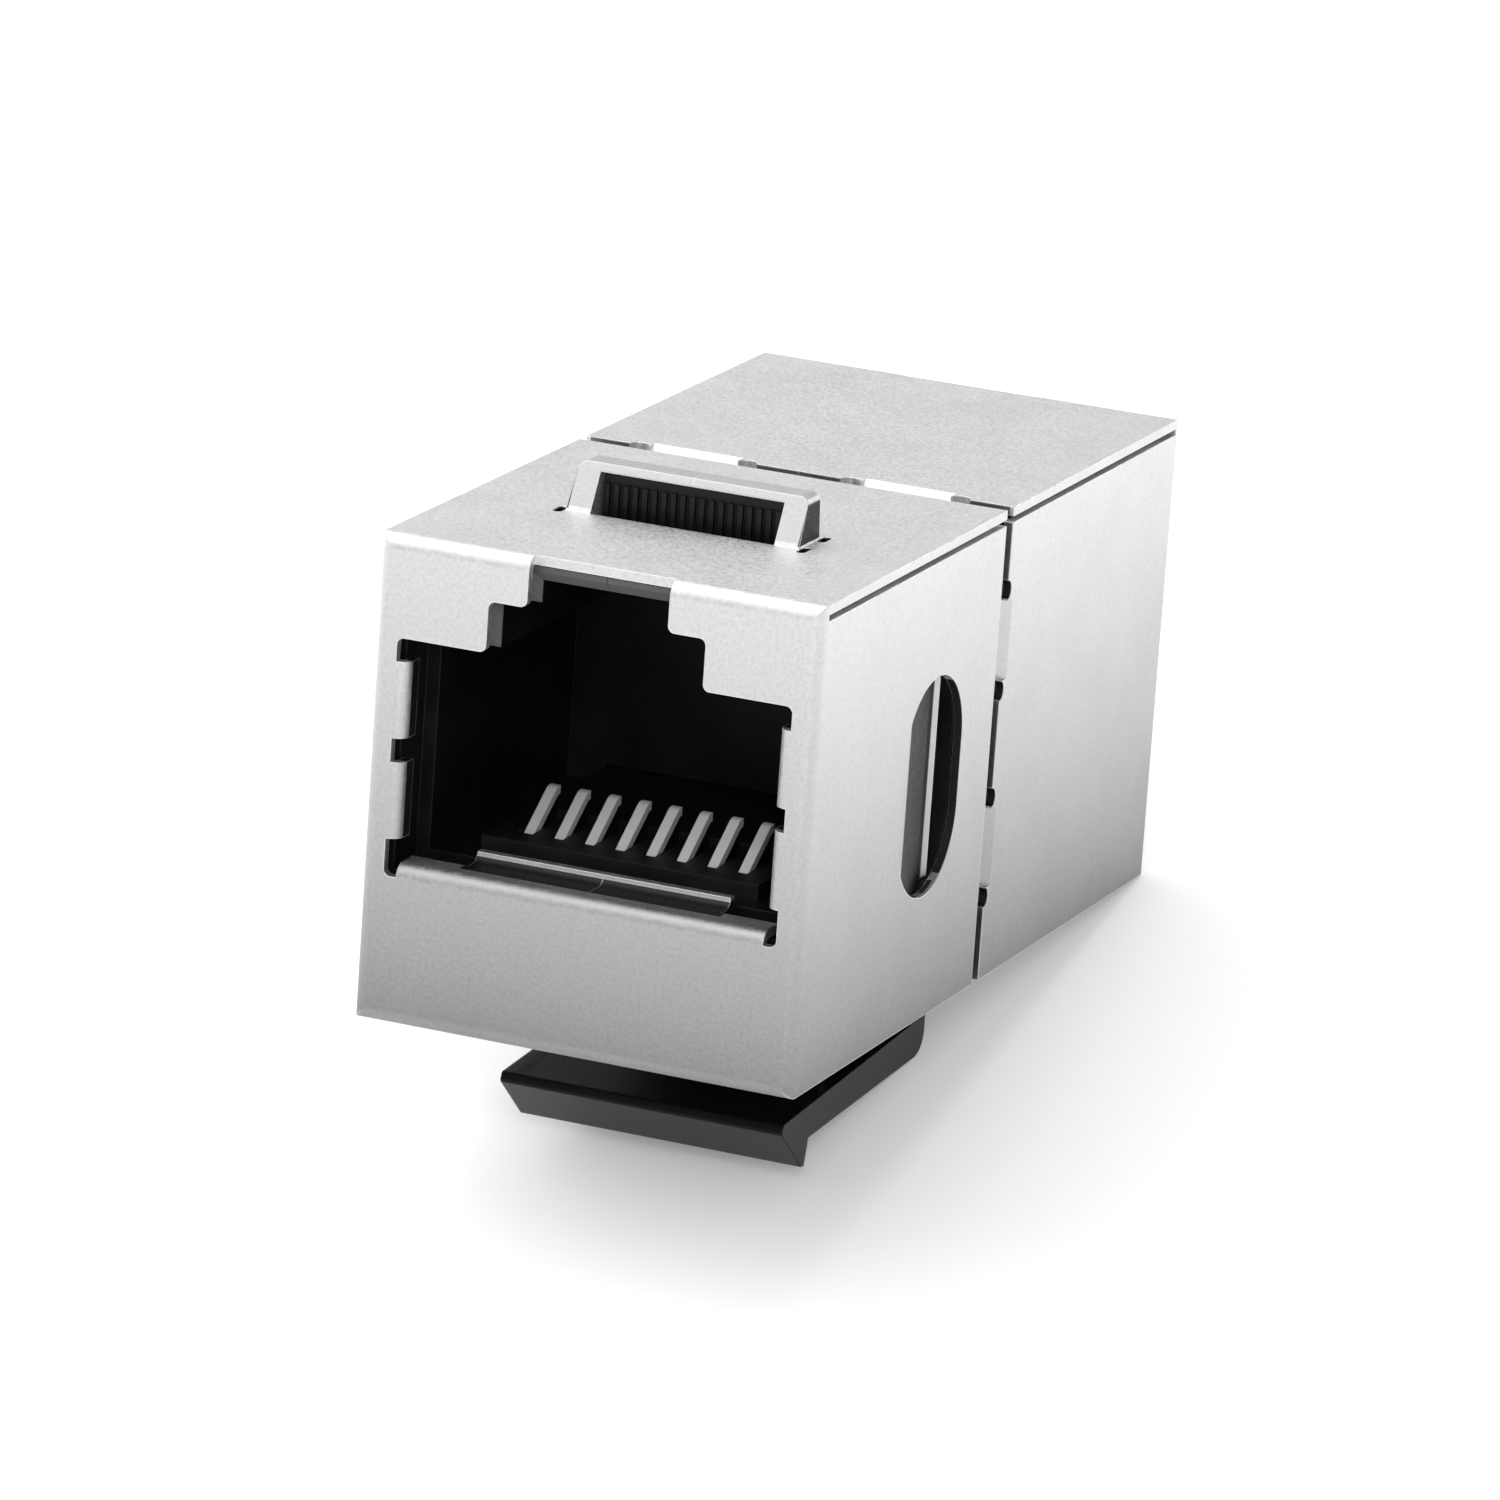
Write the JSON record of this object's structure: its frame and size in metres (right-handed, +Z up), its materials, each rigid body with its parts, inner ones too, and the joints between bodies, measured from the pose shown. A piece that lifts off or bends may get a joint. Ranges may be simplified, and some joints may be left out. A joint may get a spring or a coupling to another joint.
{
  "type": "shielded keystone feed-through module",
  "caption": "Shielded keystone coupler: folded metal shields round two back-to-back plug sockets, with a formed lug on the roof and a sprung latch under the floor.",
  "frame": {"origin": "centre of the front face, which is also the centre of the panel port in the panel's front plane", "axes": "+Y runs from the front face through the body, +Z is up with the lug on top and the latch below, +X is right seen from the front"},
  "size_m": [0.0144, 0.03, 0.0213],
  "materials": {
    "shield": "satin bright plating over folded sheet",
    "housing": "moulded, fine matte",
    "carrier": "moulded, fine matte",
    "latch": "moulded, glossy",
    "contact": "plated spring wire",
    "board": "coated glass-fibre board"
  },
  "bodies": {
    "root": {"front_shield": "shield", "rear_shield": "shield", "front_housing": "housing", "rear_housing": "housing", "front_carrier": "carrier", "rear_carrier": "carrier", "circuit_board": "board", "keystone_latch": "latch", "front_contact_1": "contact", "front_contact_2": "contact", "front_contact_3": "contact", "front_contact_4": "contact", "front_contact_5": "contact", "front_contact_6": "contact", "front_contact_7": "contact", "front_contact_8": "contact", "rear_contact_1": "contact", "rear_contact_2": "contact", "rear_contact_3": "contact", "rear_contact_4": "contact", "rear_contact_5": "contact", "rear_contact_6": "contact", "rear_contact_7": "contact", "rear_contact_8": "contact"}
  },
  "joints": []
}
